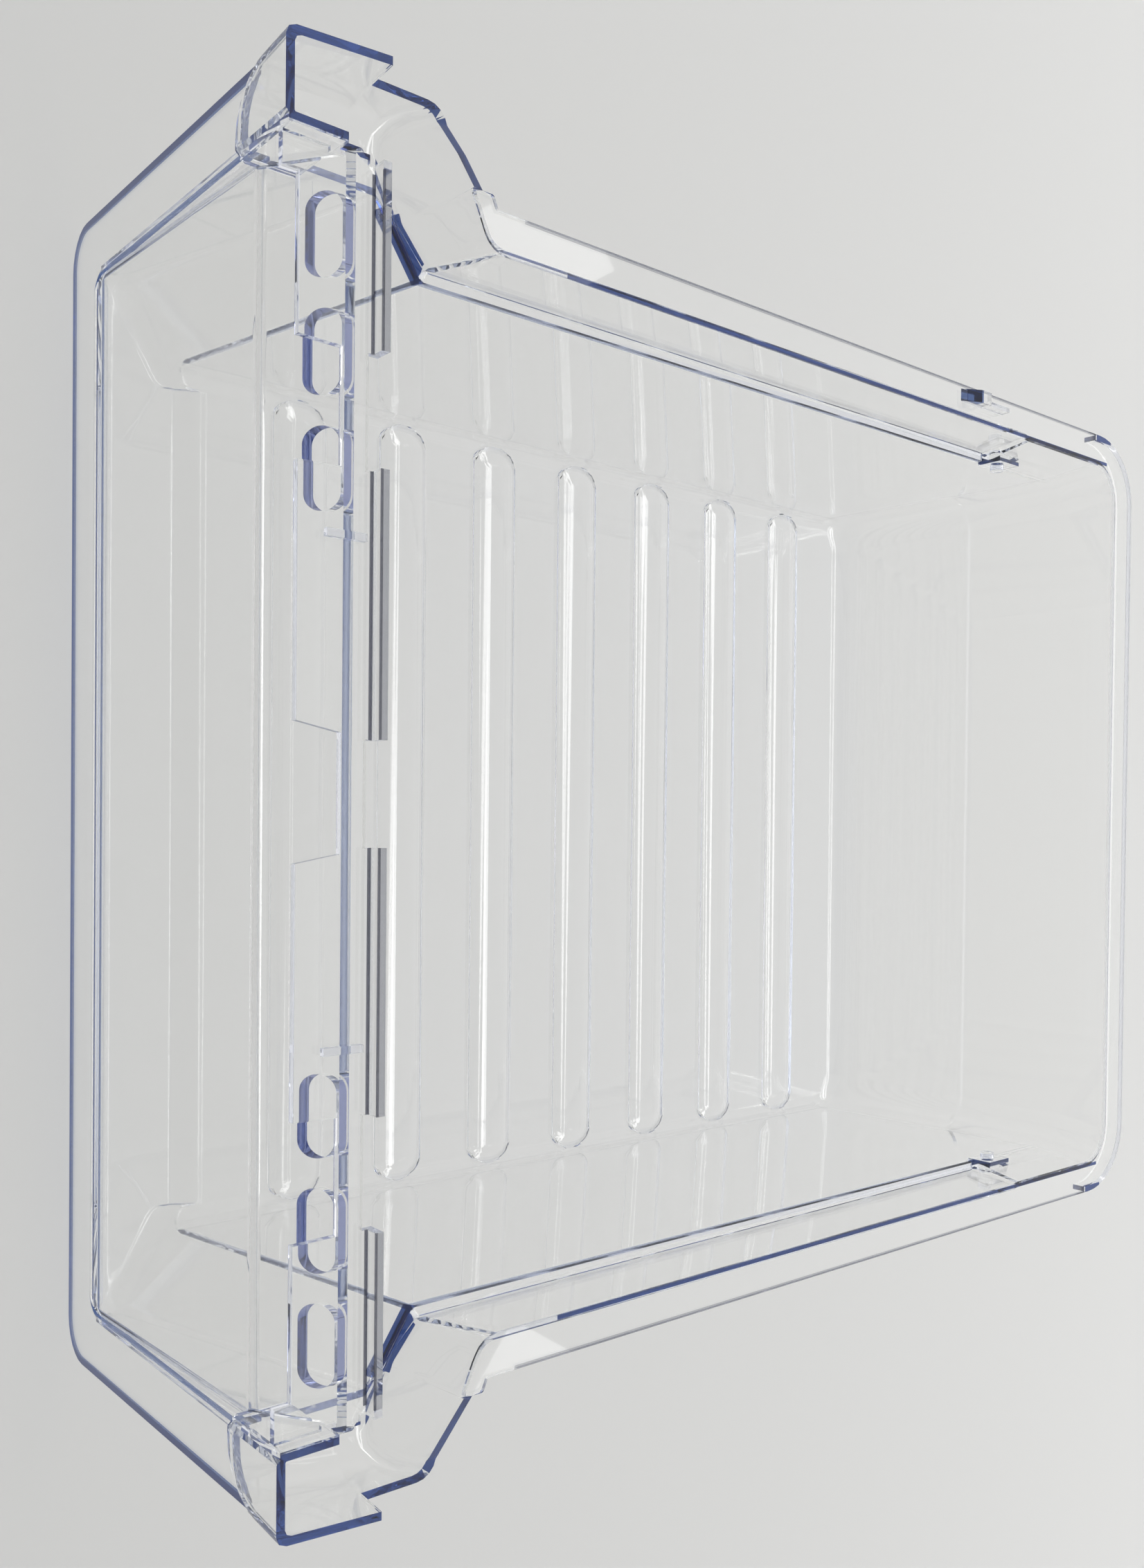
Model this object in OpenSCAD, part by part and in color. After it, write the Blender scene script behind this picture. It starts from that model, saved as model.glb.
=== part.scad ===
// Freezer drawer: one clear moulded tub with a raised vented front, runner flanges and clip tongues.
// Millimetres. The origin is the middle of the base of the overall box, with the front towards -Y.

/* [Overall] */
// Width across the front plate
front_w = 400; // [392:1:410]
// Depth from the face of the ears to the rear edge of the rim
depth = 424; // [405:1:440]
// Height of the rim above the underside of the front bay
rim_h = 150; // [146:1:156]
// How far the ears stand above the rim
ear_rise = 4; // [2:0.5:7]
// How far the front plate hangs below the front bay
apron_h = 21.5; // [12:0.5:26]
// Wall thickness
wall = 2.5; // [2.2:0.1:2.8]

/* [Basket] */
// Inside width at the main floor
floor_w = 304; // [296:1:308]
// Inside width just below the side ledges
ledge_in_w = 314; // [310:1:317]
// Inside width at the rim
rim_in_w = 324; // [322:1:328]
// Height of the side ledges and of the front bay's sides
ledge_h = 125; // [118:1:128]
// Width of the side ledges
ledge_w = 3; // [1.5:0.5:4]
// Height of the main floor above the floor of the front bay
floor_rise = 5; // [3:0.5:7]
// How far the rear wall leans back from floor to rim
rear_lean = 33; // [20:1:38]
// Inside corner radius at the rear
rear_r = 15; // [10:1:20]
// Height of the shallow step across the rear wall
rear_step_h = 77; // [60:1:95]
// Depth of the shallow step across the rear wall
rear_step = 1.2; // [0.6:0.2:2]
// Radius between floor and walls
floor_r = 5.5; // [4:0.5:8]

/* [Floor ribs] */
// Number of ribs across the main floor
rib_count = 7; // [4:1:7]
// Distance from rib to rib
rib_pitch = 43; // [38:0.5:44]
// Place of the front edge of the first rib behind the front
rib_start = 65; // [62:1:72]
// Width of a rib at its foot
rib_w = 20; // [16:0.5:24]
// Height of a rib
rib_h = 3; // [2:0.5:4]

/* [Front bay] */
// Inside width of the front bay at its floor
bay_w = 358; // [354:1:362]
// Depth of the bay's straight sides at the floor
bay_side = 14; // [9:1:16]
// Where the main floor starts behind the front
bay_depth = 31; // [28:1:36]
// How far the front wall leans back from bottom to fold
front_lean = 3.5; // [2:0.5:5]
// How far the vented wall leans back above the fold
vent_lean = 14.5; // [12:0.5:17]
// Set-back of the front plate behind the ears' faces
plate_back = 2.5; // [2:0.1:3]
// Corner radius of the front plate
plate_r = 14; // [8:1:18]

/* [Vents] */
// Number of vent slots on each side
vent_count = 3; // [1:1:3]
// Distance from slot to slot
vent_pitch = 32.2; // [28:0.2:33]
// Distance from the middle to the innermost slot
vent_start = 90.2; // [84:0.2:92]
// Width of a slot
vent_w = 23.8; // [16:0.2:26]
// Height of a slot seen from the front
vent_h = 10; // [7:0.5:11]

/* [Clip tongues] */
// Reach of the tongues in front of their lips
tongue_reach = 24.6; // [20:0.2:26]
// Height of the lips behind the tongues
lip_h = 5; // [3:0.5:7]
// Inner end of the middle tongues
mid_tongue_x0 = 15; // [12:0.5:18]
// Outer end of the middle tongues
mid_tongue_x1 = 90; // [84:0.5:94]
// Inner end of the end tongues
end_tongue_x0 = 122.5; // [118:0.5:126]
// Thickness of the small guide rib on each middle tongue
guide_w = 2.2; // [1.6:0.2:3]
// Length of the guide rib
guide_l = 13; // [9:0.5:15]

/* [Ears] */
// Width of an ear's pocket at its bottom
ear_w = 6.8; // [5:0.2:8]
// Radius between the side channel's floor and its outer wall
ear_r = 14; // [10:0.5:15]
// Length of the ears' tall sides
ear_l = 31; // [26:1:34]
// Length of the wall between ear and tub
ear_inner_l = 18; // [14:1:20]
// Height of the low side plates below the rim
plate_drop = 8; // [5:0.5:11]
// Widening of the side channels towards the rear on each side
ear_flare = 2.6; // [1.4:0.2:3.4]

/* [Rim] */
// Width of the runner flange along each side
flange_w = 12.8; // [10:0.2:14]
// Corner radius of the rim at the rear
rim_r = 28; // [22:1:32]
// Height of the skirt below the rim at the rear
skirt_h = 6; // [3:0.5:9]
// Length of the skirt along each side
skirt_l = 30; // [28:1:40]
// Thickness of the skirt
skirt_t = 2.2; // [1.8:0.1:2.6]

/* [Stops and catch] */
// Place of the side stops in front of the rim's rear edge
stop_back = 84; // [76:1:92]
// Length of a side stop
stop_l = 14; // [10:1:18]
// Diameter of the peg on a side stop
peg_d = 6; // [4:0.5:7]
// Place of the catch in front of the rim's rear edge
catch_back = 132; // [120:1:145]
// Length of the catch
catch_l = 14; // [10:1:18]
// Height of the catch above the flange
catch_h = 5; // [3:0.5:7]

/* [Hidden] */
clear_blue = [0.80, 0.85, 0.95, 0.45];
past = 4;

main_z = wall + floor_rise;
fold_h = ledge_h - 2;
fold_y = plate_back + front_lean;
shelf_top = rim_h - 1;
shelf_z = shelf_top - wall;
ear_top = rim_h + ear_rise;
half_front = front_w / 2;
rear_y = depth - flange_w - 1.7;
rim_x = rim_in_w / 2 + flange_w;
vent_slope = vent_lean / (shelf_z - fold_h);
vent_wall_y = wall * sqrt(1 + pow(vent_slope, 2));
inner_fold_h = fold_h - (vent_wall_y - wall) / (vent_slope - front_lean / fold_h);
ear_in = bay_w / 2 - 0.8;
stop_y = depth - stop_back;
shoulder_y = bay_side + 29.6;
rim_y = shoulder_y + 16.4;
tongue_y1 = fold_y + vent_lean + 10.5;
tongue_y0 = tongue_y1 - tongue_reach;
shelf_y0 = fold_y + vent_lean - 1;
shelf_y1 = tongue_y1 - 4;

// An outline is a list of corners [x, y, radius, steps, offset of the edge that leaves the corner].
function unit(v) = v / norm(v);
function xy(c) = [c.x, c.y];
function mix(a, b, s) = a + (b - a) * s;
function turn(a) = a > 180 ? a - 360 : a < -180 ? a + 360 : a;
function both_sides(c, front_offset = 0) =
    concat(c, [for (i = [len(c) - 1:-1:0])
        [-c[i].x, c[i].y, c[i][2], c[i][3], i == 0 ? front_offset : c[i - 1][4]]]);

// Each edge moved outwards by its own offset.
function out(a, b) = let (d = unit(b - a)) [d.y, -d.x];
function moved(c) =
    let (n = len(c))
    [for (i = [0:n - 1])
        let (a = xy(c[(i + n - 1) % n]), p = xy(c[i]), b = xy(c[(i + 1) % n]),
             d1 = c[(i + n - 1) % n][4], d2 = c[i][4], n1 = out(a, p), n2 = out(p, b), k = n1 * n2,
             m = d1 == d2 ? (n1 + n2) * d1 / (1 + k)
                          : (n1 * (d1 - d2 * k) + n2 * (d2 - d1 * k)) / (1 - k * k),
             bend = sign(n1.x * n2.y - n1.y * n2.x))
        [p.x + m.x, p.y + m.y, max(0.4, c[i][2] + bend * (d1 + d2) / 2), c[i][3]]];

// Corners turned into arcs, kept shorter than the edges beside them.
function corner(a, p, b, radius, n) =
    let (u = unit(a - p), v = unit(b - p), half = acos(u * v) / 2,
         reach = min(radius / tan(half), 0.45 * norm(a - p), 0.45 * norm(b - p)), r = reach * tan(half),
         mid = p + unit(u + v) * r / sin(half), s = p + u * reach - mid, e = p + v * reach - mid,
         a0 = atan2(s.y, s.x), sweep = turn(atan2(e.y, e.x) - a0))
    [for (i = [0:n]) mid + r * [cos(a0 + sweep * i / n), sin(a0 + sweep * i / n)]];
function rounded(c) =
    let (n = len(c))
    [for (i = [0:n - 1]) each corner(xy(c[(i + n - 1) % n]), xy(c[i]), xy(c[(i + 1) % n]), c[i][2], c[i][3])];

// A solid through outlines [z, points] with equal numbers of points.
module loft(levels) {
    n = len(levels[0][1]);
    m = len(levels);
    polyhedron(
        points = [for (l = levels, p = l[1]) [p.x, p.y, l[0]]],
        faces = concat(
            [[for (i = [0:n - 1]) i]],
            [[for (i = [n - 1:-1:0]) (m - 1) * n + i]],
            [for (k = [0:m - 2], i = [0:n - 1])
                let (j = (i + 1) % n, b = k * n, t = b + n)
                each [[b + i, t + i, t + j], [b + i, t + j, b + j]]]),
        convexity = 12);
}

// Places of the inside faces at height z.
function up_tub(z) = (z - main_z) / (ledge_h - main_z);
function up_rim(z) = max(0, min(1, (z - ledge_h) / (rim_h - ledge_h)));
function front_out(z) = max(plate_back + front_lean * z / fold_h, fold_y + vent_slope * (z - fold_h));
function front_in(z) =
    max(plate_back + wall + front_lean * z / fold_h, fold_y + vent_wall_y + vent_slope * (z - fold_h));
function rear_in(z) =
    rear_y - rear_lean * (rim_h - z) / (rim_h - main_z) - (z > rear_step_h ? 0 : rear_step);
function side_in(z) =
    z < ledge_h ? mix(floor_w, ledge_in_w, up_tub(z)) / 2 : mix(ledge_in_w, rim_in_w - 1, up_rim(z)) / 2;
function foot(h, r) = h >= r ? 0 : r - sqrt(r * r - pow(r - h, 2));

// Outline of the tub below the ledges. t is 0 inside and the wall thickness outside.
// Below the main floor it covers only the front bay, as far back as the slope that joins the floors.
function tub(z, t, whole) =
    let (r = floor_r + t,
         bay = t - foot(z + t - wall, r),
         main = t - (whole ? foot(z + t - main_z, r) : r),
         slope = bay_depth + 9 * (z + t - wall) / floor_rise,
         x = bay_w / 2 - 0.8 * z / ledge_h,
         side_y = max(bay_side + 29.6 * up_tub(z), front_in(z) + 0.3 - 1.6 * bay))
    rounded(moved(both_sides([
        [x, front_in(z), 2.5, 4, bay],
        [x, side_y, 4, 3, bay],
        [side_in(z), bay_depth - 2 + 28 * up_tub(z), 1.5, 3, main],
        [side_in(z), whole ? rear_in(z) : slope, whole ? rear_r : 1, 7, whole ? main : 0]],
        t > 0 ? front_in(z) - front_out(z) : bay)));

foot_steps = [0, 0.03, 0.12, 0.3, 0.55];
module tub_form(t, top) {
    r = floor_r + t;
    low = wall - t;
    step = main_z - t;
    loft(concat(
        [for (s = foot_steps, z = [low + r * s]) if (z < step - 0.2) [z, tub(z, t, false)]],
        [[step, tub(step, t, false)]],
        [for (s = foot_steps, z = [step + r * s]) [z, tub(z, t, true)]],
        [for (z = [step + r, rear_step_h, rear_step_h + 1]) [z, tub(z, t, true)]],
        [for (z = [inner_fold_h, top]) if (z <= top) [z, tub(z, t, true)]]));
}

// Outline above the ledges: side channels behind the ears, sloping shoulders and the rim's walls.
function channel_x(z, r) =
    let (mid = ledge_h + ear_r)
    ear_in + ear_w + (z < mid ? sqrt(max(0.01, r * r - pow(mid - z, 2))) : r + (z - mid) * 0.07);
function top_part(z, t) =
    let (s = up_rim(z), x = channel_x(z, ear_r + t), hx = ledge_in_w / 2,
         ledge_x = mix(hx + ledge_w, rim_in_w / 2, s))
    rounded(moved(both_sides([
        [ear_in, front_in(z), 0.6, 1, t],
        [ear_in, wall, 0.6, 1, t],
        [x - ear_flare / 2, wall, 2, 2, 0],
        [x + ear_flare / 2, ear_l, 5, 1, 0],
        [x + ear_flare / 2 + 0.3, shoulder_y + mix(-5, 14.4, s), 5, 4, 1.15 * t],
        [hx + mix(14.6, 20.5, s), shoulder_y + mix(4.4, 16.4, s), 8, 2, 1.15 * t],
        [ledge_x, shoulder_y + mix(14, 23, s), mix(3, 9, s), 4, t],
        [ledge_x, stop_y - 1.5, 0.6, 1, t],
        [side_in(z), stop_y + 1.5, 0.6, 1, t],
        [side_in(z), rear_in(z), rear_r, 7, t]],
        t > 0 ? front_in(z) - front_out(z) : 0)));

channel_steps = [0.06, 0.2, 0.45, 0.75, 1];
module top_form(t) {
    low = ledge_h - t;
    loft(concat(
        [[low, top_part(low, t)]],
        [for (z = [fold_h]) if (z > low) [z, top_part(z, t)]],
        [for (s = channel_steps, z = [low + (ear_r + t) * s]) [z, top_part(z, t)]],
        [for (z = [rim_h, ear_top + (t > 0 ? 0 : past)]) [z, top_part(z, t)]]));
}

// Everything above the finished top edges: ears, low side plates, sloping shoulders, shelf and rim.
module above_edges() {
    reach = half_front + 20;
    h = ear_rise + past;
    translate([-reach, rim_y, rim_h]) cube([2 * reach, depth, h]);
    translate([-ear_in, ear_inner_l, shelf_top]) cube([2 * ear_in, rim_y, h + 1]);
    translate([wall - ear_in, -past, shelf_top]) cube([2 * (ear_in - wall), ear_inner_l + past, h + 1]);
    for (s = [-1, 1])
        translate([0, ear_l + rim_y, 0]) rotate([90, 0, 0]) linear_extrude(rim_y)
            polygon([[s * rim_x, rim_h + h], [s * (rim_x + 4), rim_h], [s * (half_front - 2), rim_h - plate_drop],
                     [s * reach, rim_h - plate_drop], [s * reach, rim_h + h]]);
}

// Runner flange round the tub and the skirt at its rear.
rim_corners = both_sides([
    [rim_x + 3.9, rim_y, 0.6, 1, -skirt_t],
    [rim_x + 3.9, rim_y + 6.8, 0.6, 1, -skirt_t],
    [rim_x, rim_y + 8.4, 0.6, 1, -skirt_t],
    [rim_x, depth, rim_r, 10, -skirt_t]]);
module rim() {
    translate([0, 0, rim_h - wall]) linear_extrude(wall) polygon(rounded(rim_corners));
}
module skirt() {
    translate([0, 0, rim_h - wall - skirt_h]) linear_extrude(skirt_h + wall / 2) intersection() {
        difference() {
            polygon(rounded(rim_corners));
            polygon(rounded(moved(rim_corners)));
        }
        translate([-front_w, depth - skirt_l]) square([2 * front_w, skirt_l + past]);
    }
}

// Front plate: wings beside the bay, the apron below it and the returns from wings to bay.
module front_plate() {
    translate([0, plate_back + wall, 0]) rotate([90, 0, 0]) linear_extrude(wall) difference() {
        polygon(rounded(both_sides([[half_front, -apron_h, plate_r, 6], [half_front, ledge_h + 6, 1, 1]])));
        polygon(rounded(both_sides([[bay_w / 2, 0, floor_r + wall, 6], [bay_w / 2, rim_h, 1, 1]])));
    }
    for (s = [0, 1]) mirror([s, 0, 0])
        translate([bay_w / 2, plate_back + 1, floor_r]) cube([wall, front_lean + wall, ledge_h - floor_r - 1]);
}

// The shell as one surface, held to the overall depth.
module tub_shell() {
    resize([0, depth, 0]) difference() {
        union() {
            tub_form(wall, ledge_h - wall);
            top_form(wall);
            front_plate();
            rim();
        }
        tub_form(0, ledge_h);
        top_form(0);
        above_edges();
    }
}

// Shelf at the top of the vented wall, four tongues that reach forwards from it, and their lips.
module tongue(x0, x1, taper) {
    lip_y = tongue_y1 - wall;
    translate([0, 0, shelf_z]) linear_extrude(wall)
        polygon([[x0, lip_y], [x0 + taper, tongue_y0], [x1 - 0.5, tongue_y0], [x1, lip_y]]);
    translate([0, 0, shelf_z]) linear_extrude(wall + lip_h)
        polygon([[x0, lip_y], [x1, lip_y], [x1, tongue_y1], [x0, tongue_y1]]);
}

module shelf() {
    end_x = ear_in - 5;
    translate([1 - ear_in, shelf_y0, shelf_z]) cube([2 * (ear_in - 1), shelf_y1 - shelf_y0, wall]);
    for (s = [0, 1]) mirror([s, 0, 0]) {
        tongue(mid_tongue_x0, mid_tongue_x1, 4.4);
        tongue(end_tongue_x0, end_x + 1.5, 0.5);
        translate([end_x - 7, tongue_y0 - 4.8, shelf_z]) cube([7, tongue_reach, wall]);
        translate([end_x - 1, tongue_y0 - 4.8, shelf_z]) cube([4.5, 13.6, wall]);
        translate([mid_tongue_x1 - 20.2, shelf_y1 - guide_l, shelf_z + 1]) cube([guide_w, guide_l - 1, wall + 1]);
        translate([ear_in - wall, 1, ledge_h - wall + 1])
            cube([wall + 0.3, ear_inner_l - 1, ear_top - ledge_h + wall - 1]);
    }
}

module vents() {
    slot_z = (ledge_h + shelf_z) / 2 + 5;
    for (s = [-1, 1], i = [0:vent_count - 1])
        translate([s * (vent_start + i * vent_pitch), plate_back, slot_z]) rotate([-90, 0, 0]) {
            for (e = [-1, 1])
                translate([e * (vent_w - vent_h) / 2, 0, 0]) cylinder(h = vent_lean + 12, d = vent_h, $fn = 48);
            translate([-(vent_w - vent_h) / 2, -vent_h / 2, 0]) cube([vent_w - vent_h, vent_h, vent_lean + 12]);
        }
}

// A rib is a flattened wave in the floor: the same form is added on top and taken away below.
// Each step is a share of the rib's height and how far the outline has moved in there.
rib_steps = [[-0.1, -0.2], [0.22, 0.5], [0.45, 1.2], [0.65, 2.1], [0.82, 3.3], [0.94, 4.9], [1, 7]];
module rib_form() {
    x = floor_w / 2 - floor_r * 0.3;
    w = rib_w / 2;
    loft([for (s = rib_steps, in = s[1], r = (w - in) * 0.7)
        [s[0] * rib_h, rounded(both_sides([[x - in, in - w, r, 4], [x - in, w - in, r, 4]]))]]);
}
module ribs(z) {
    for (i = [0:rib_count - 1])
        translate([0, rib_start + rib_w / 2 + i * rib_pitch, z]) rib_form();
}

// Stops at the rear end of the side ledges, each with a small peg.
module side_stops() {
    x = ledge_in_w / 2;
    for (s = [0, 1]) mirror([s, 0, 0]) {
        translate([x - 1.5, stop_y, ledge_h - 2]) cube([ledge_w + wall, stop_l, 12]);
        translate([x - 4.5, stop_y + 4.5, ledge_h + 5]) rotate([0, 90, 0])
            cylinder(h = ledge_w + wall + 4, d = peg_d, $fn = 32);
    }
}

// Catch on the left runner flange: a wedge with an upright end and a thin web behind it.
module catch() {
    translate([2 - rim_x, depth - catch_back, rim_h - 1]) {
        rotate([90, 0, 90]) linear_extrude(5)
            polygon([[0, 0], [catch_l, 0], [catch_l, catch_h + 1], [catch_l * 0.55, catch_h + 1], [0, 1]]);
        translate([3, catch_l - 1, 0]) cube([1.8, catch_l + 1, catch_h]);
    }
}

module drawer_tub() {
    color(clear_blue) translate([0, -depth / 2, apron_h]) difference() {
        union() {
            tub_shell();
            shelf();
            skirt();
            ribs(main_z);
            side_stops();
            catch();
        }
        vents();
        ribs(main_z - wall);
    }
}

drawer_tub();
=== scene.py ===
# %% [markdown]
# # A clear freezer drawer
#
# The drawer is one moulding of clear polystyrene. Almost nothing on it has a colour of its own:
# what the eye reads is the bending of light at each wall, the soft lights that its faces mirror,
# and the blue of its edges, where light has run a long way inside the plastic. So this lesson
# spends its effort on one shell, one clear material, the light and the camera.

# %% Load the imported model
import math

import bmesh
import bpy
from mathutils import Matrix, Vector


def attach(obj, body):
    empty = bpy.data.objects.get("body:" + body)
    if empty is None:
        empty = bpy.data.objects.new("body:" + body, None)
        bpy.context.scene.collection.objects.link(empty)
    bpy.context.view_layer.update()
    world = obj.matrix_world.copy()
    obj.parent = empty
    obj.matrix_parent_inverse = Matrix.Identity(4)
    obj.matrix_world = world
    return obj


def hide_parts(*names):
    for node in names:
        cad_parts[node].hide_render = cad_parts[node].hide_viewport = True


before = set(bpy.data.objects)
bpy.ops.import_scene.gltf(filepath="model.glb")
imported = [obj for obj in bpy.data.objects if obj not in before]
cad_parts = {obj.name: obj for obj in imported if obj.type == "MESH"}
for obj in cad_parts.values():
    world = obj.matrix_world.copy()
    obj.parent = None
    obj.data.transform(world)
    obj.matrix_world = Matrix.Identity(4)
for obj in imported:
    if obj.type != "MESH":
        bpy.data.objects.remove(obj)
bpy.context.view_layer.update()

# %% [markdown]
# ## Camera
#
# The photograph was taken from above the drawer's front, with the camera turned on its side. The
# numbers below come from the drawer's own straight edges. A lens that looks down 47 degrees from
# half a metre up makes the walls lean apart strongly, so place, tilt and lens are all kept.

# %% Camera
PHOTO_W, PHOTO_H = 1652, 2265
PITCH, YAW, ROLL = math.radians(46.996), math.radians(-1.244), math.radians(-1.571)
PLACE = Vector((0.0088, -0.37107, 0.51893))
FOCAL_PX = 1973.6
MIDDLE_PX = (1051.9, 1227.8)
SENSOR_MM = 36
NEAREST = 0.01


def camera_turn(pitch, yaw, roll):
    """Turn of a camera that looks down by pitch and lies on its left side."""
    flat = math.cos(pitch)
    ahead = Vector((-math.sin(yaw) * flat, math.cos(yaw) * flat, -math.sin(pitch)))
    across = Vector((math.cos(yaw), math.sin(yaw), 0))
    down = ahead.cross(across)
    level = math.cos(roll) * across + math.sin(roll) * down
    fall = -math.sin(roll) * across + math.cos(roll) * down
    return Matrix((-fall, -level, -ahead)).transposed()


lens = bpy.data.cameras.new("photo_lens")
lens.sensor_width = SENSOR_MM
lens.lens = FOCAL_PX / PHOTO_H * lens.sensor_width
lens.shift_x = (PHOTO_W / 2 - MIDDLE_PX[0]) / PHOTO_H
lens.shift_y = (MIDDLE_PX[1] - PHOTO_H / 2) / PHOTO_H
lens.clip_start = NEAREST
camera = bpy.data.objects.new("photo_camera", lens)
camera.matrix_world = Matrix.Translation(PLACE) @ camera_turn(PITCH, YAW, ROLL).to_4x4()
bpy.context.scene.collection.objects.link(camera)
bpy.context.scene.camera = camera
print("lens %.1f mm, shift %.3f, %.3f" % (lens.lens, lens.shift_x, lens.shift_y))

# %% [markdown]
# ## Shader maths
#
# Patterns in a material are sums and products of coordinates and noise. Written as node links they
# are hard to read, so a small class wraps a socket and lets Python's operators add the Math nodes.
# The same class serves the Geometry Nodes tree, where the Math nodes have the same names.

# %% Sockets that can be added and multiplied
class Sock:
    """A node's output socket, with arithmetic."""

    def __init__(self, tree, out):
        self.tree, self.out = tree, out

    def node(self, kind, settings=(), **inputs):
        """Adds a node. Settings go first, then values or links by socket name."""
        made = self.tree.nodes.new(kind)
        for name, value in dict(settings).items():
            setattr(made, name, value)
        for name, value in inputs.items():
            put(self.tree, made.inputs[name.replace("_", " ")], value)
        return made

    def maths(self, operation, *values):
        """Adds a Math node, with this socket as its first value."""
        made = self.tree.nodes.new("ShaderNodeMath")
        made.operation = operation
        for place, value in enumerate((self, *values)):
            put(self.tree, made.inputs[place], value)
        return Sock(self.tree, made.outputs[0])

    def vector(self, operation, *values):
        """The same for vectors. The result is a vector, or a number for a length."""
        made = self.tree.nodes.new("ShaderNodeVectorMath")
        made.operation = operation
        for place, value in enumerate((self, *values)):
            put(self.tree, made.inputs[place], value)
        return Sock(self.tree, made.outputs["Value" if operation == "LENGTH" else "Vector"])

    def __add__(self, other):
        return self.maths("ADD", other)

    def __mul__(self, other):
        return self.maths("MULTIPLY", other)

    def below(self, limit):
        """1 where the value is below a limit, else 0."""
        return self.maths("LESS_THAN", limit)

    def above(self, limit):
        """1 where the value is above a limit, else 0."""
        return self.maths("GREATER_THAN", limit)

    def between(self, limits):
        """1 where the value is between two limits, else 0."""
        return self.above(limits[0]) * self.below(limits[1])

    def xyz(self):
        """The three numbers of a vector."""
        split = self.node("ShaderNodeSeparateXYZ", Vector=self)
        return [Sock(self.tree, out) for out in split.outputs]


def put(tree, socket, value):
    """Links a socket to a socket, or sets it to a plain value."""
    if isinstance(value, Sock):
        tree.links.new(value.out, socket)
    else:
        socket.default_value = value


def new_material(name):
    """An empty material: (material, its tree, its output node, a Sock for Object coordinates)."""
    material = bpy.data.materials.new(name)
    material.use_nodes = True
    tree = material.node_tree
    tree.nodes.clear()
    output = tree.nodes.new("ShaderNodeOutputMaterial")
    place = tree.nodes.new("ShaderNodeTexCoord")
    return material, tree, output, Sock(tree, place.outputs["Object"])


print("shader maths ready")

# %% [markdown]
# ## The shell
#
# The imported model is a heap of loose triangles, which would shade flat, so a copy is merged into
# one skin. Three touches follow that would be slow to make in CAD, and each leaves the drawer's
# overall box as it is.
#
# - The crowns of the seven floor ribs are rounded, and their feet are spread a little. Both faces
#   of the floor get the same lift, so the wall keeps its thickness.
# - A few small square steps are eased: the side ledges slope, and the side flanges start without
#   a step. Two lines on the hidden side follow, because a sharp hidden corner shows through clear
#   plastic as a dark line.
# - Narrow strips are cut beside three long folds, so that only the strips shade round.

# %% Merge the shell
WELD = 2e-6


def merged_copy(node, name):
    """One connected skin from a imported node's loose triangles."""
    mesh = bpy.data.meshes.new(name)
    skin = bmesh.new()
    skin.from_mesh(node.data)
    bmesh.ops.remove_doubles(skin, verts=skin.verts, dist=WELD)
    bmesh.ops.dissolve_degenerate(skin, edges=skin.edges, dist=WELD / 2)
    skin.to_mesh(mesh)
    skin.free()
    piece = bpy.data.objects.new(name, mesh)
    bpy.context.scene.collection.objects.link(piece)
    return piece


shell = merged_copy(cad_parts["drawer_tub"], "drawer_shell")
print("merged:", len(shell.data.vertices), "points,", len(shell.data.polygons), "faces")

# %% Round the crowns of the ribs
RIB_COUNT = 7
RIB_PITCH = 0.043
FIRST_RIB = -0.137
RIB_HALF = 0.010
RIB_REACH = 0.15035
RIB_HEIGHT = 0.003
RIB_SPREAD = 1.1
FLOOR_TOP = 0.029
WALL = 0.0025
HALF_LINES = (0.0009, 0.0028, 0.0046, 0.0062, 0.0075, 0.0086, 0.0094)
CROWN_LINES = tuple(side * line for side in (-1, 1) for line in HALF_LINES)
# How far above the floor, and beyond the ribs' ends, a face may reach and still be cut.
CUT_ABOVE, CUT_BEYOND = 0.004, 0.002
LEVEL_ENOUGH = 0.5
# How far above a crown, and outside a rib's outline in half widths, a point may lie and still move.
CROWN_SLACK, FOOT_SLACK = 0.0003, 1e-3
CUT_WELD = 1e-6


def cut(skin, faces, place, way):
    """Cuts some faces of a skin along the plane through a place, square to a way."""
    parts = list(faces)
    parts += list({edge for face in faces for edge in face.edges})
    parts += list({vert for face in faces for vert in face.verts})
    bmesh.ops.bisect_plane(skin, geom=parts, dist=CUT_WELD, plane_co=place, plane_no=way)


def crossed_by(face, y):
    """Whether a face of the floor or a rib, top or underside, lies across the plane at y."""
    return (
        all(vert.co.z < FLOOR_TOP + CUT_ABOVE for vert in face.verts)
        and all(abs(vert.co.x) < RIB_REACH + CUT_BEYOND for vert in face.verts)
        and max(vert.co.y for vert in face.verts) > y > min(vert.co.y for vert in face.verts)
        and abs(face.normal.z) > LEVEL_ENOUGH
    )


def inside_rib(point, middle):
    """How far a point lies inside a rib's rounded outline: 0 at its foot, 1 on its crown line."""
    beyond = max(abs(point.x) - (RIB_REACH - RIB_HALF), 0)
    across = point.y - middle
    return 1 - math.hypot(beyond, across) / RIB_HALF


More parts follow.
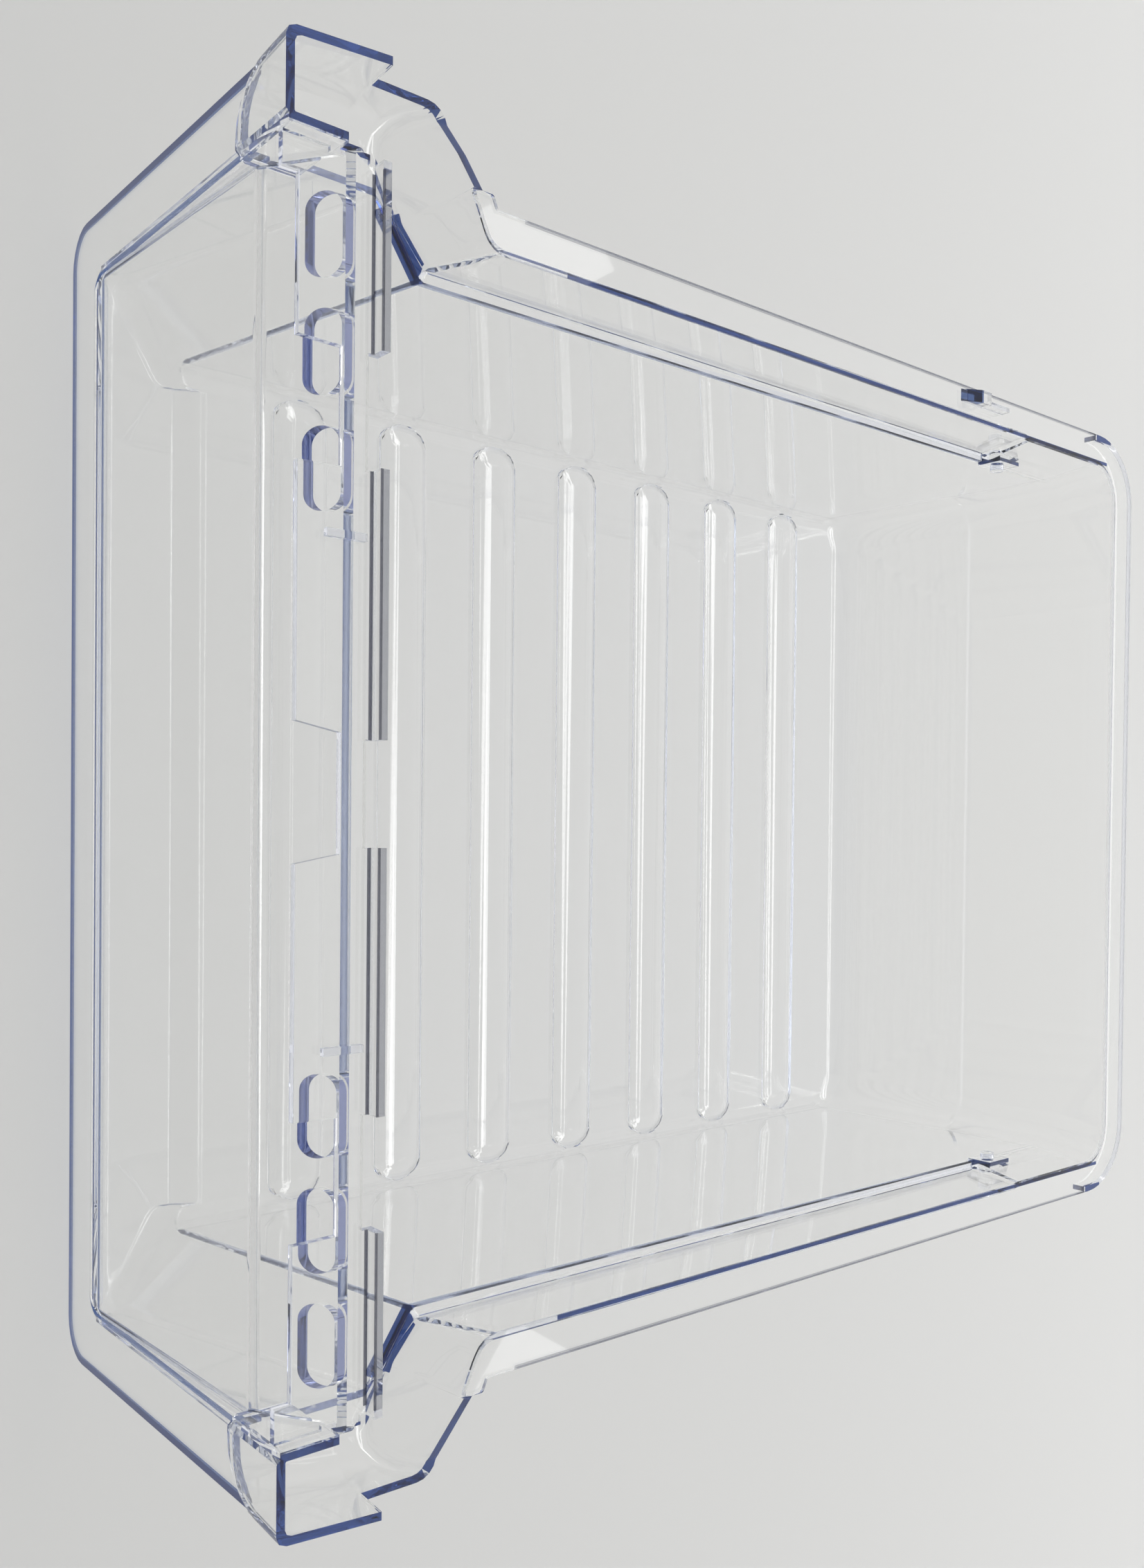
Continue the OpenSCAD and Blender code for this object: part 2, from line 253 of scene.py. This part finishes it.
def round_ribs(mesh):
    """Gives each rib lines along it and a parabola's height. Returns how many points moved."""
    skin = bmesh.new()
    skin.from_mesh(mesh)
    middles = [FIRST_RIB + rib * RIB_PITCH for rib in range(RIB_COUNT)]
    for middle in middles:
        for line in CROWN_LINES:
            y = middle + line
            cut(skin, [face for face in skin.faces if crossed_by(face, y)], (0, y, 0), (0, 1, 0))
    skin.normal_update()
    straight = RIB_REACH - RIB_HALF
    moved = 0
    for vert in skin.verts:
        if vert.co.z > FLOOR_TOP + RIB_HEIGHT + CROWN_SLACK or abs(vert.co.x) > RIB_REACH:
            continue
        middle = min(middles, key=lambda y: abs(vert.co.y - y))
        deep = inside_rib(vert.co, middle)
        if deep < -FOOT_SLACK:
            continue
        deep = max(deep, 0)
        base = FLOOR_TOP if vert.normal.z > 0 else FLOOR_TOP - WALL
        vert.co.z = base + RIB_HEIGHT * (1 - (1 - deep) ** 2)
        vert.co.y = middle + (vert.co.y - middle) * RIB_SPREAD
        if abs(vert.co.x) > straight:
            spread = straight + (abs(vert.co.x) - straight) * RIB_SPREAD
            vert.co.x = math.copysign(spread, vert.co.x)
        moved += 1
    skin.to_mesh(mesh)
    skin.free()
    return moved


print("points lifted on the ribs:", round_ribs(shell.data))

# %% Ease the ledges, the flanges' front ends and two lines on the hidden side
# Millimetres in a metre.
MM = 1000
# Rows: lowest and highest corner of a box, and the level that its points go to. All are in
# millimetres, with X folded over because the two sides match.
EASED = (
    # outer line of the side ledges, raised so that they slope
    (((159.7, -156, 146.4), (161.3, 126.6, 146.6)), 148.1),
    # the same line on the hidden side
    (((162.4, -153, 143.9), (162.75, 126.4, 145.3)), 145.6),
    # front end of the side flanges
    (((161.5, -152.8, 170.4), (178.3, -133.9, 170.6)), 171.5),
    # hidden corner under the ledges
    (((159.2, -154.5, 143.9), (159.7, 131.2, 144.1)), 141.2),
    # hidden line of the fold above the front plate
    (((0, -204.2, 143.2), (178, -202.9, 144.3)), 142.2),
)


def ease(mesh):
    """Moves the points in each box to its level. Returns how many edges are open afterwards."""
    skin = bmesh.new()
    skin.from_mesh(mesh)
    for vert in skin.verts:
        spot = (abs(vert.co.x) * MM, vert.co.y * MM, vert.co.z * MM)
        for (low, high), level in EASED:
            if all(a <= value <= b for a, value, b in zip(low, spot, high)):
                vert.co.z = level / MM
    bmesh.ops.remove_doubles(skin, verts=skin.verts, dist=WELD)
    bmesh.ops.dissolve_degenerate(skin, edges=skin.edges, dist=WELD)
    open_edges = sum(not edge.is_manifold for edge in skin.edges)
    skin.to_mesh(mesh)
    skin.free()
    return open_edges


print("open edges after easing:", ease(shell.data))

# %% Narrow strips beside three long folds, so that they shade round and the plates stay flat
# Rows: the way that the cuts face, their places along it, and the lowest and highest corner of a
# box round the fold's points. All are in millimetres.
SOFT_FOLDS = (
    # step from the bay's floor to the main floor, its lower and its upper fold
    ((0, 1, 0), (-182.2, -179.8), (-165, -181.3, 20), (165, -180.7, 25)),
    ((0, 1, 0), (-173.2, -170.8), (-165, -172.3, 26), (165, -171.7, 30)),
    # fold above the front plate
    ((0, 0, 1), (140.9, 145.4), (-178, -207, 142), (178, -201.5, 145.2)),
)


def strips(mesh):
    """Cuts the faces that meet at each fold beside it. Returns how many faces that adds."""
    skin = bmesh.new()
    skin.from_mesh(mesh)
    before = len(skin.faces)
    for way, places, low, high in SOFT_FOLDS:
        for place in places:
            near = {
                face
                for vert in skin.verts
                if all(a <= value * MM <= b for a, value, b in zip(low, vert.co, high))
                for face in vert.link_faces
            }
            cut(skin, near, Vector(way) * place / MM, way)
    added = len(skin.faces) - before
    skin.to_mesh(mesh)
    skin.free()
    return added


print("faces added beside the folds:", strips(shell.data))

# %% [markdown]
# ## Creases and edges
#
# A Geometry Nodes tree follows two rules over the whole skin. A fold sharper than the crease angle
# stays crisp, and the rest is shaded round. The ledges, the floor and the long fold above the
# front plate get a wider crease angle, so that their low folds shade round. And every face asks
# how wide the plastic is sideways, by rays shot to both sides along four directions from just
# under it. Where that is not much more than a wall's thickness, the face is the narrow edge of a
# plate: a rim, a slot's wall, a tongue's end. The finish needs to know, because such edges show
# navy or lilac. A Weighted Normal modifier then keeps the large plates flat beside their folds.

# %% Crease and edge tree
CREASE = math.radians(28)
LEDGE_MORE, FLOOR_MORE = 0.65, 0.2
LEDGE_X, LEDGE_Y, LEDGE_Z = 0.1565, (-0.156, 0.127), (0.1435, 0.1483)
FLOOR_Z = 0.0325
FOLD_Y, FOLD_Z = -0.2015, (0.1415, 0.1452)
EDGE_WIDTH = 0.0036
UNDER_SKIN = 0.0004
LONGEST_RAY = 0.05
RAY_WAYS = 4
# No face looks this way, so its cross product with a face's normal never vanishes.
SLANTED = (0.31, 0.52, 0.79)


def crease_limit(place, crease):
    """The crease angle, wider on the ledges, on the floor and at the fold above the plate."""
    x, y, z = place.xyz()
    on_ledge = x.maths("ABSOLUTE").above(LEDGE_X) * y.between(LEDGE_Y) * z.between(LEDGE_Z)
    on_fold = y.below(FOLD_Y) * z.between(FOLD_Z)
    on_floor_or_fold = z.below(FLOOR_Z).maths("MAXIMUM", on_fold)
    return crease + on_ledge * LEDGE_MORE + on_floor_or_fold * FLOOR_MORE


def narrowest_width(given, place):
    """The least distance between the sides of the plastic, of four ways along just under a face."""
    tree = given.tree
    out = Sock(tree, given.node("GeometryNodeInputNormal").outputs[0])
    under = place.vector("ADD", out.vector("MULTIPLY", (-UNDER_SKIN,) * 3))
    along = out.vector("CROSS_PRODUCT", SLANTED).vector("NORMALIZE")
    across = out.vector("CROSS_PRODUCT", along)
    narrowest = None
    for turn in range(RAY_WAYS):
        angle = turn * math.pi / RAY_WAYS
        part = across.vector("MULTIPLY", (math.sin(angle),) * 3)
        way = along.vector("MULTIPLY", (math.cos(angle),) * 3).vector("ADD", part)
        reach = []
        for sign in (1, -1):
            ray = given.node(
                "GeometryNodeRaycast",
                Target_Geometry=given,
                Ray_Length=LONGEST_RAY,
                Source_Position=under,
                Ray_Direction=way.vector("MULTIPLY", (sign,) * 3),
            )
            missed = Sock(tree, ray.outputs["Is Hit"]).below(0.5)
            reach.append(Sock(tree, ray.outputs["Hit Distance"]) + missed)
        width = reach[0] + reach[1]
        narrowest = width if narrowest is None else width.maths("MINIMUM", narrowest)
    return narrowest


def edge_tree():
    """A tree that creases a skin and stores an "edge" value, 0 or 1, on each face."""
    tree = bpy.data.node_groups.new("creases_and_edges", "GeometryNodeTree")
    inputs = (
        ("Skin", "Geometry"),
        ("Crease angle", "Float"),
        ("Edge width", "Float"),
        ("Finish", "Material"),
    )
    for name, kind in inputs:
        tree.interface.new_socket(name, in_out="INPUT", socket_type="NodeSocket" + kind)
    tree.interface.new_socket("Skin", in_out="OUTPUT", socket_type="NodeSocketGeometry")
    start = tree.nodes.new("NodeGroupInput")
    given, crease, widest, finish = (Sock(tree, out) for out in list(start.outputs)[:4])

    place = Sock(tree, given.node("GeometryNodeInputPosition").outputs[0])
    fold = Sock(tree, given.node("GeometryNodeInputMeshEdgeAngle").outputs["Unsigned Angle"])
    smooth = given.node("GeometryNodeSetShadeSmooth", {"domain": "FACE"}, Geometry=given)
    creased = given.node(
        "GeometryNodeSetShadeSmooth",
        {"domain": "EDGE"},
        Geometry=Sock(tree, smooth.outputs[0]),
        Selection=fold.above(crease_limit(place, crease)),
        Shade_Smooth=False,
    )
    kept = given.node(
        "GeometryNodeStoreNamedAttribute",
        {"data_type": "FLOAT", "domain": "FACE"},
        Geometry=Sock(tree, creased.outputs[0]),
        Name="edge",
        Value=narrowest_width(given, place).below(widest),
    )
    real = given.node("GeometryNodeRealizeInstances", Geometry=Sock(tree, kept.outputs[0]))
    dressed = given.node(
        "GeometryNodeSetMaterial", Geometry=Sock(tree, real.outputs[0]), Material=finish
    )
    end = given.node("NodeGroupOutput")
    tree.links.new(dressed.outputs[0], end.inputs[0])
    return tree


def finished(piece):
    """Turns a piece's modifiers into a plain mesh."""
    seen = piece.evaluated_get(bpy.context.evaluated_depsgraph_get())
    mesh = bpy.data.meshes.new_from_object(seen)
    piece.modifiers.clear()
    piece.data = mesh
    mesh.name = piece.name
    return mesh


creases_and_edges = edge_tree()
print("tree has", len(creases_and_edges.nodes), "nodes")

# %% [markdown]
# ## Clear polystyrene
#
# Polystyrene bends light more than window glass does. Its colour sits in the depth of the plastic:
# a wall seen face on is 2.5 mm deep and looks clear, while light in an edge has run a long way
# along the plate. A weak absorbing volume gives the first. The second takes hundreds of bounces,
# so the edges get a tint of their own: faint blue everywhere, navy on the ears, the front plate
# and along the wall tops, lilac in the slots. The grey to dark lines on the lips and along the side
# flanges are painted reflection, the dark of the room that these edges mirror. Boxes name those
# places, measured on the model in millimetres, with X folded over because the two sides match.

# %% Places on the shell, in millimetres
NAVY_EDGES = (
    ((176.5, -213, 140), (210, -118, 178)),
    ((160, 181, 167), (176, 194, 172)),
)
NAVY_STRIPS = (
    ((162.0, -118, 171.2), (163.1, 190, 173)),
    ((157.2, -172, 143.0), (175.5, -153.5, 146.45)),
    ((0, -213, 24.7), (174, -208.8, 25.4)),
    ((172.2, 181.5, 168.5), (176, 193, 172)),
)
SLOTS = (((70, -206, 150), (170, -186, 168)),)
# Painted reflection: thin dark lines on the lips, where they mirror the dark of the room.
LIP_REFLECTION_LINES = (
    ((0, -183.75, 175.2), (172, -183.05, 176)),
    ((0, -184.1, 170.3), (172, -183.4, 170.9)),
)
# Painted reflection: grey on the lips' tops and along the side flanges' outer edges, the dark room
# that they mirror.
GREY_REFLECTION_PLACES = (
    ((0, -182.9, 175.3), (172, -180, 176)),
    ((174.35, -133, 167), (176, 181, 173)),
)
CATCH_TOP = (((166, 79, 173.2), (173, 88.5, 178)),)
BOX_MARGIN = 0.0002
# The front plate's outline, in metres.
PLATE_HALF, PLATE_CORNER, PLATE_EDGE = 0.200, 0.014, 0.0023
PLATE_REAR, PLATE_TOP = -0.2035, 0.1505


def near_boxes(place, boxes):
    """1 inside any of the boxes or within a small margin of one, else 0."""
    total = None
    for low, high in boxes:
        low, high = Vector(low) / MM, Vector(high) / MM
        offset = place.vector("SUBTRACT", tuple((low + high) / 2)).vector("ABSOLUTE")
        beyond = offset.vector("SUBTRACT", tuple((high - low) / 2))
        mask = beyond.vector("MAXIMUM", (0, 0, 0)).vector("LENGTH").below(BOX_MARGIN)
        total = mask if total is None else total.maths("MAXIMUM", mask)
    return total


def plate_outline(place):
    """1 on the front plate within an edge's width of its outline, round its lower corners too."""
    mirrored = place.vector("MULTIPLY", (1, 0, -1))
    past_corner = mirrored.vector("SUBTRACT", (PLATE_HALF - PLATE_CORNER, 0, -PLATE_CORNER))
    beyond = past_corner.vector("MAXIMUM", (0, 0, 0)).vector("LENGTH")
    _, y, z = place.xyz()
    on_plate = y.below(PLATE_REAR) * z.below(PLATE_TOP)
    return on_plate * beyond.above(PLATE_CORNER - PLATE_EDGE)


print("navy places on each side:", len(NAVY_EDGES) + len(NAVY_STRIPS))

# %% Clear plastic
BEND = 1.57
DEPTH_COLOUR = (0.10, 0.25, 0.62, 1)
DEPTH_DENSITY = 3.5
HAZE_SCALE, HAZE_ROUGHNESS = 40, 0.04
WALL_TINT = (1, 1, 0.993, 1)
EDGE_TINT = (0.86, 0.88, 0.96, 1)
NAVY = (0.002, 0.008, 0.085, 1)
PLATE_NAVY = (0.015, 0.04, 0.20, 1)
LILAC = (0.11, 0.14, 0.40, 1)
# The next two colours are painted reflection of a dark room, not colours of the plastic.
PAINTED_REFLECTION_GREY = (0.34, 0.35, 0.40, 1)
PAINTED_REFLECTION_DARK = (0.035, 0.037, 0.055, 1)
# The edges of the floor, the bay and their ribs, below this height, stay clear.
EDGES_ABOVE = 0.036
MOST_BOUNCES = 80


def tinted(colour, mask, over):
    """A colour, with another one laid over it where a mask is 1."""
    mix = mask.node("ShaderNodeMix", {"data_type": "RGBA"})
    put(mask.tree, mix.inputs[0], mask)
    put(mask.tree, mix.inputs[6], colour)
    put(mask.tree, mix.inputs[7], over)
    return Sock(mask.tree, mix.outputs[2])


def clear_plastic():
    material, tree, output, place = new_material("clear_polystyrene")
    haze = place.node("ShaderNodeTexNoise", Vector=place, Scale=HAZE_SCALE, Detail=1)
    x, y, z = place.xyz()
    folded = place.node("ShaderNodeCombineXYZ", X=x.maths("ABSOLUTE"), Y=y, Z=z)
    folded = Sock(tree, folded.outputs[0])
    edge = Sock(tree, place.node("ShaderNodeAttribute", {"attribute_name": "edge"}).outputs["Fac"])
    edge = edge.above(0.5) * z.above(EDGES_ABOVE)
    layers = (
        (edge, EDGE_TINT),
        # painted reflection of the dark room on the lips and along the side flanges
        (near_boxes(folded, GREY_REFLECTION_PLACES), PAINTED_REFLECTION_GREY),
        (near_boxes(folded, LIP_REFLECTION_LINES), PAINTED_REFLECTION_DARK),
        (edge * near_boxes(folded, SLOTS), LILAC),
        (edge * near_boxes(folded, NAVY_EDGES), NAVY),
        (near_boxes(folded, NAVY_STRIPS), NAVY),
        (plate_outline(folded), PLATE_NAVY),
        (near_boxes(folded, CATCH_TOP), PLATE_NAVY),
    )
    tint = WALL_TINT
    for mask, over in layers:
        tint = tinted(tint, mask, over)
    skin = place.node(
        "ShaderNodeBsdfPrincipled",
        Base_Color=tint,
        Roughness=Sock(tree, haze.outputs["Fac"]) * HAZE_ROUGHNESS,
        IOR=BEND,
        Transmission_Weight=1,
    )
    # Light that only lights something else passes straight through, so the table stays bright.
    straight = place.node("ShaderNodeBsdfTransparent")
    path = tree.nodes.new("ShaderNodeLightPath")
    surface = skin.outputs[0]
    for ray in ("Is Diffuse Ray", "Is Shadow Ray"):
        choice = place.node("ShaderNodeMixShader", Fac=Sock(tree, path.outputs[ray]))
        tree.links.new(surface, choice.inputs[1])
        tree.links.new(straight.outputs[0], choice.inputs[2])
        surface = choice.outputs[0]
    depth = place.node("ShaderNodeVolumeAbsorption", Color=DEPTH_COLOUR, Density=DEPTH_DENSITY)
    tree.links.new(surface, output.inputs["Surface"])
    tree.links.new(depth.outputs[0], output.inputs["Volume"])
    return material


measure = shell.modifiers.new("creases_and_edges", "NODES")
measure.node_group = creases_and_edges
sockets = creases_and_edges.interface.items_tree
named = {item.name: item.identifier for item in sockets if item.in_out == "INPUT"}
measure[named["Crease angle"]] = CREASE
measure[named["Edge width"]] = EDGE_WIDTH
measure[named["Finish"]] = clear_plastic()
even = shell.modifiers.new("even_plates", "WEIGHTED_NORMAL")
even.keep_sharp = True
skin = finished(shell)
edges = [datum.value for datum in skin.attributes["edge"].data]
print("faces:", len(edges), "of which narrow edges:", sum(value > 0.5 for value in edges))
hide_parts("drawer_tub")
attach(shell, "root")
for kind in ("max", "glossy", "transmission"):
    setattr(bpy.context.scene.cycles, kind + "_bounces", MOST_BOUNCES)
bpy.context.scene.cycles.caustics_refractive = False
bpy.context.scene.cycles.caustics_reflective = False
print("plastic:", [material.name for material in skin.materials])

# %% [markdown]
# ## Table
#
# The front plate hangs lower than the floor of the basket, so the drawer stands on the plate's
# lower edge and on the floor's rear end, and leans forward by about four degrees. The model keeps
# its own level frame, so here the table leans instead. Its grey is painted a little lighter towards
# the rear, as in the photograph: painted light, for a room that is brighter behind the drawer.

# %% Table
FRONT_FOOT = Vector((0, -0.2095, 0.0))
REAR_FOOT = Vector((0, 0.1570, 0.0265))
TABLE_GAP = 0.0004
TABLE_SIZE = 3
# Painted shade at the front of the table and painted light at its rear, not the table's own colour.
TABLE_NEAR_PAINTED_SHADE = (0.505, 0.505, 0.495, 1)
TABLE_FAR_PAINTED_LIGHT = (0.71, 0.71, 0.70, 1)
NEAR_Y, FAR_Y = -0.5, 0.5


def table_top():
    lean = math.atan2(REAR_FOOT.z - FRONT_FOOT.z, REAR_FOOT.y - FRONT_FOOT.y)
    place = Matrix.Translation(FRONT_FOOT - Vector((0, 0, TABLE_GAP)))
    turn = Matrix.Rotation(lean, 4, "X")
    sheet = bmesh.new()
    bmesh.ops.create_grid(sheet, x_segments=8, y_segments=8, size=TABLE_SIZE, matrix=place @ turn)
    mesh = bpy.data.meshes.new("table_top")
    sheet.to_mesh(mesh)
    sheet.free()
    table = bpy.data.objects.new("table_top", mesh)
    bpy.context.scene.collection.objects.link(table)
    print("table leans %.1f degrees" % math.degrees(lean))
    return table


def table_finish_with_painted_light():
    material, tree, output, place = new_material("matt_table_painted_light")
    _, y, _ = place.xyz()
    # The grey lightens towards the rear: a painted gradient of light.
    far = place.node("ShaderNodeMapRange", Value=y, From_Min=NEAR_Y, From_Max=FAR_Y)
    shade = tinted(TABLE_NEAR_PAINTED_SHADE, Sock(tree, far.outputs[0]), TABLE_FAR_PAINTED_LIGHT)
    skin = place.node(
        "ShaderNodeBsdfPrincipled", Base_Color=shade, Roughness=0.85, Specular_IOR_Level=0.2
    )
    tree.links.new(skin.outputs[0], output.inputs["Surface"])
    return material


table = table_top()
table.data.materials.append(table_finish_with_painted_light())

# %% [markdown]
# ## Light
#
# Clear plastic is lit by what stands around it. The room is an even pale grey, with one narrow
# bright strip almost overhead that draws the white lines on the ribs and folds, and it is darker
# at the front. The strip runs from side to side and fades out before it meets the horizon. Two
# small panels behind the drawer make the flanges shine.

# %% Room and lights
# Pairs: an angle in degrees, from the rear horizon over the top to the front one, and a level.
ROOM_LEVELS = (
    (0, 1.0),
    (8, 1.1),
    (26, 1.1),
    (38, 1.0),
    (78, 1.0),
    (80.5, 7.5),
    (84, 7.5),
    (86.5, 1.0),
    (130, 0.65),
    (165, 0.65),
)
ROOM_STRENGTH = 0.895
# Towards the sides the room goes to level 1 between these distances from the line along X.
SIDE_FADE = (0.6, 0.2)
PANEL_PLACE, PANEL_AIM = (0.93, 0.91, 1.65), (0.17, -0.13, 0.171)
PANEL_SIZE, PANEL_WATTS = 0.17, 0.12


def grey(level):
    return (level, level, level, 1)


def room(levels, strength):
    """A room whose light depends on the angle over the top, and is plain at the sides."""
    world = bpy.data.worlds.new("studio")
    bpy.context.scene.world = world
    world.use_nodes = True
    tree = world.node_tree
    tree.nodes.clear()
    output = tree.nodes.new("ShaderNodeOutputWorld")
    way = Sock(tree, tree.nodes.new("ShaderNodeTexCoord").outputs["Generated"])
    _, y, z = way.xyz()
    turn = z.maths("ABSOLUTE").maths("ARCTAN2", y) * (1 / math.pi)
    ramp = way.node("ShaderNodeValToRGB", Fac=turn)
    stops = ramp.color_ramp.elements
    highest = max(level for angle, level in levels)
    while len(stops) < len(levels):
        stops.new(0.5)
    for stop, (angle, level) in zip(stops, levels):
        stop.position = angle / 180
        stop.color = grey(level / highest)
    from_x = way.vector("MULTIPLY", (0, 1, 1)).vector("LENGTH")
    full, none = SIDE_FADE
    smooth = {"interpolation_type": "SMOOTHSTEP"}
    fade = way.node("ShaderNodeMapRange", smooth, Value=from_x, From_Min=none, From_Max=full)
    colour = tinted(grey(1 / highest), Sock(tree, fade.outputs[0]), Sock(tree, ramp.outputs[0]))
    back = way.node("ShaderNodeBackground", Color=colour, Strength=strength * highest)
    tree.links.new(back.outputs[0], output.inputs["Surface"])


def soft_light(name, place, aim, size, watts):
    light = bpy.data.lights.new(name, "AREA")
    light.shape = "SQUARE"
    light.size = size
    light.energy = watts
    lamp = bpy.data.objects.new(name, light)
    lamp.location = place
    lamp.rotation_euler = (Vector(place) - Vector(aim)).to_track_quat("Z", "Y").to_euler()
    bpy.context.scene.collection.objects.link(lamp)


room(ROOM_LEVELS, ROOM_STRENGTH)
for side in (-1, 1):
    place, aim = ((side * x, y, z) for x, y, z in (PANEL_PLACE, PANEL_AIM))
    soft_light("side_panel_%d" % side, place, aim, PANEL_SIZE, PANEL_WATTS)
print("room and two side panels set")

# %% Close
bpy.context.scene.view_settings.view_transform = "Standard"
